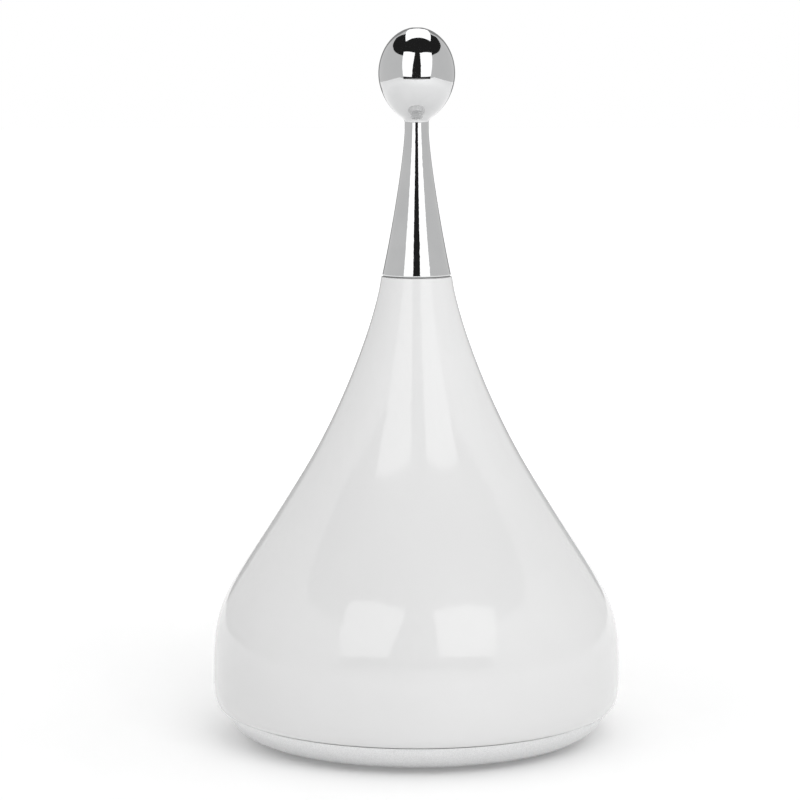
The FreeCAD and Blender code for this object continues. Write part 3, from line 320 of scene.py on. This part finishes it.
def finishes():
    """A material for each finish that the record names."""
    made = [
        gloss_white(),
        inner_white(),
        chrome_plate(),
        silver_paint("silver_paint", 0.77, 0.42),
        silver_paint("button_silver", 0.60, 0.30, 0.00016),
        moulded("grey_plastic", 0.30, -0.01, 0.42),
        moulded("dark_plastic", 0.022, 0.0, 0.46, grain=0.0005, depth=0.00002),
        moulded("switch_plunger", 0.05, 0.0, 0.40),
        rubbery("soft_grey", 0.50, 0.0, 0.58),
        rubbery("rubber_foot", 0.030, 0.0, 0.66),
        metal("screw_steel", tone(0.48, 0.02), tone(0.66, -0.02), 0.30, 0.0003),
        metal("stamped_steel", tone(0.52, 0.0), tone(0.60, -0.01), 0.33, 0.0004, (1, 0.06, 1), 0.000004),
        metal("can_aluminium", tone(0.62, 0.0), tone(0.72, -0.01), 0.34, 0.0004, (1, 1, 0.05), 0.000004),
        grained("bearing_bronze", (0.38, 0.20, 0.08), (0.50, 0.29, 0.13), 0.44, 0.00025, 0.00003, 1.0),
        grained("magnet", grey(0.030), grey(0.052), 0.52, 0.0003, 0.00002),
        grained("foam", grey(0.74), grey(0.82), 0.62, 0.0022, 0.00018),
        piezo(),
        circuit_board(),
        copper(),
        led_lens(),
        moulded("wire_sleeve", 0.40, 0.0, 0.38, grain=0.0006),
    ]
    return {s.name: s.material for s in made}


def dress(materials):
    """Gives each CAD node the procedural material of its finish."""
    for name, piece in frame["nodes"].items():
        for slot in piece.material_slots:
            slot.material = materials[slot.material.name.split(".")[0]]


# ---- Studio ----
def plain_mesh(name, points, faces, material):
    mesh = bpy.data.meshes.new(name)
    mesh.from_pydata(points, [], faces)
    mesh.materials.append(material)
    made = bpy.data.objects.new(name, mesh)
    bpy.context.scene.collection.objects.link(made)
    return made


def turned(name, outline, material, start=0.0, finish=360.0):
    """A surface turned about z from (radius, height) points, between two azimuths."""
    sides = 96
    points, faces = [], []
    for radius, z in outline:
        for i in range(sides + 1):
            azimuth = math.radians(start + (finish - start) * i / sides)
            points.append((radius * math.sin(azimuth), -radius * math.cos(azimuth), z))
    for row in range(len(outline) - 1):
        first = row * (sides + 1)
        for i in range(first, first + sides):
            faces.append((i, i + 1, i + sides + 2, i + sides + 1))
    return plain_mesh(name, points, faces, material)


def glow(name, level):
    """A light that shines evenly, such as a softbox's cloth."""
    material = bpy.data.materials.new(name)
    material.use_nodes = True
    tree = material.node_tree
    tree.nodes.clear()
    shine = tree.nodes.new("ShaderNodeEmission")
    shine.inputs["Color"].default_value = (1, 1, 1, 1)
    shine.inputs["Strength"].default_value = level
    out = tree.nodes.new("ShaderNodeOutputMaterial")
    tree.links.new(shine.outputs[0], out.inputs["Surface"])
    return material


def only_in_reflections(piece):
    piece.visible_camera = False
    piece.visible_diffuse = False
    piece.visible_transmission = False
    piece.visible_shadow = False
    piece.visible_volume_scatter = False


def floor():
    """A white table that reaches past every view, and glows a little more farther out."""
    s = Surface("pale_floor", IOR=1.45, Emission_Strength=1.0)
    s.colour(grey(0.86), grey(0.875), s.noise(0.15, 3))
    s.rough(0.55, 0.65, s.noise(0.01, 3))
    distance = s.node("VectorMath", {"operation": "LENGTH"}, Vector=s.place()).outputs["Value"]
    added = s.blend(distance, grey(FLOOR_GLOW_NEAR), grey(FLOOR_GLOW_FAR), FLOOR_NEAR, FLOOR_FAR)
    s.drive("Emission Color", added)
    turned("floor", [(0.0, 0.0), (FLOOR_RADIUS, 0.0)], s.material)


def dome_outline(radius, wall):
    """A wall and the quarter circle over it."""
    rows = 16
    outline = [(radius, 0.0), (radius, wall)]
    for i in range(1, rows + 1):
        angle = math.pi / 2 * i / rows
        outline.append((radius * math.cos(angle), wall + radius * math.sin(angle)))
    return outline


def backdrop():
    """A white dome round everything, which only the camera sees."""
    cloth = glow("backdrop_cloth", BACKDROP_GLOW)
    made = turned("backdrop", dome_outline(BACKDROP_RADIUS, TENT_WALL), cloth)
    made.visible_diffuse = False
    made.visible_glossy = False
    made.visible_transmission = False
    made.visible_shadow = False


def corners_of(left, right, front, back, z):
    """The corners of a level rectangle."""
    return [(left, front, z), (right, front, z), (right, back, z), (left, back, z)]


def tent():
    """A dome of grey cloth, and an apron from the table's edge out to it, which only gloss sees."""
    cloth = glow("tent_cloth", TENT_GLOW)
    only_in_reflections(turned("tent", dome_outline(TENT_RADIUS, TENT_WALL), cloth))
    inner = corners_of(-TABLE_HALF_X, TABLE_HALF_X, TABLE_FRONT, TABLE_BACK, APRON_LOW_Z)
    outer = corners_of(-APRON_REACH, APRON_REACH, -APRON_REACH, APRON_REACH, APRON_HIGH_Z)
    faces = [(i, (i + 1) % 4, 4 + (i + 1) % 4, 4 + i) for i in range(4)]
    only_in_reflections(plain_mesh("apron", inner + outer, faces, cloth))
    outline = [(FLAG_RADIUS, 0.0), (FLAG_RADIUS, FLAG_TOP_Z)]
    only_in_reflections(turned("flag", outline, glow("flag_cloth", FLAG_GLOW), FLAG_FROM, FLAG_TO))


def panel(name, corners, level):
    """A flat panel with four corners, seen only in reflections."""
    made = plain_mesh(name, corners, [(0, 1, 2, 3)], glow(name, level))
    only_in_reflections(made)


def ahead(azimuth, y, z):
    """The point at that azimuth, y and height."""
    return (-y * math.tan(math.radians(azimuth)), y, z)


def softboxes():
    """Two softboxes that lean back in front, and one overhead."""
    for label, (low_near, low_far, high_near, high_far) in BOX_AZIMUTHS.items():
        corners = [
            ahead(low_near, BOX_LOW_Y, BOX_LOW_Z),
            ahead(low_far, BOX_LOW_Y, BOX_LOW_Z),
            ahead(high_far, BOX_HIGH_Y, BOX_FAR_Z),
            ahead(high_near, BOX_HIGH_Y, BOX_NEAR_Z),
        ]
        panel("softbox_" + label, corners, SOFTBOX_GLOW)
    panel("softbox_top", [(x, y, TOP_BOX_Z) for x, y in TOP_BOX_CORNERS], SOFTBOX_GLOW)


def dark_room():
    """The unlit room over the softboxes and between them."""
    dark = glow("dark_room", DARK_GLOW)
    lid = []
    for elevation in range(LID_FROM, 91, LID_STEP):
        angle = math.radians(elevation)
        lid.append((LID_RADIUS * math.cos(angle), LID_CENTRE_Z + LID_RADIUS * math.sin(angle)))
    only_in_reflections(turned("dark_lid", lid, dark, -LID_HALF_ANGLE, LID_HALF_ANGLE))
    only_in_reflections(turned("dark_gap", [GAP_LOW, GAP_HIGH], dark, -GAP_HALF_ANGLE, GAP_HALF_ANGLE))


def area_light(name, place, towards, size, power):
    """A soft square light that shows in no reflection."""
    light = bpy.data.lights.new(name, "AREA")
    light.size = size
    light.energy = power
    made = bpy.data.objects.new(name, light)
    bpy.context.scene.collection.objects.link(made)
    made.location = place
    made.rotation_euler = (Vector(towards) - Vector(place)).to_track_quat("-Z", "Y").to_euler()
    made.visible_glossy = False


def world():
    made = bpy.data.worlds.new("studio_air")
    made.use_nodes = True
    background = made.node_tree.nodes["Background"]
    background.inputs["Color"].default_value = (1, 1, 1, 1)
    background.inputs["Strength"].default_value = WORLD_LIGHT
    bpy.context.scene.world = made


def camera():
    data = bpy.data.cameras.new("camera")
    data.lens = LENS
    made = bpy.data.objects.new("camera", data)
    bpy.context.scene.collection.objects.link(made)
    back = Vector((0, -math.cos(CAMERA_RISE), math.sin(CAMERA_RISE)))
    made.location = AIM + back * CAMERA_DISTANCE
    made.rotation_euler = (-back).to_track_quat("-Z", "Y").to_euler()
    bpy.context.scene.camera = made


dress(finishes())
world()
floor()
backdrop()
tent()
softboxes()
dark_room()
area_light("key_front", *KEY_FRONT)
area_light("key_top", *KEY_TOP)
camera()
bpy.context.scene.view_settings.view_transform = "Standard"
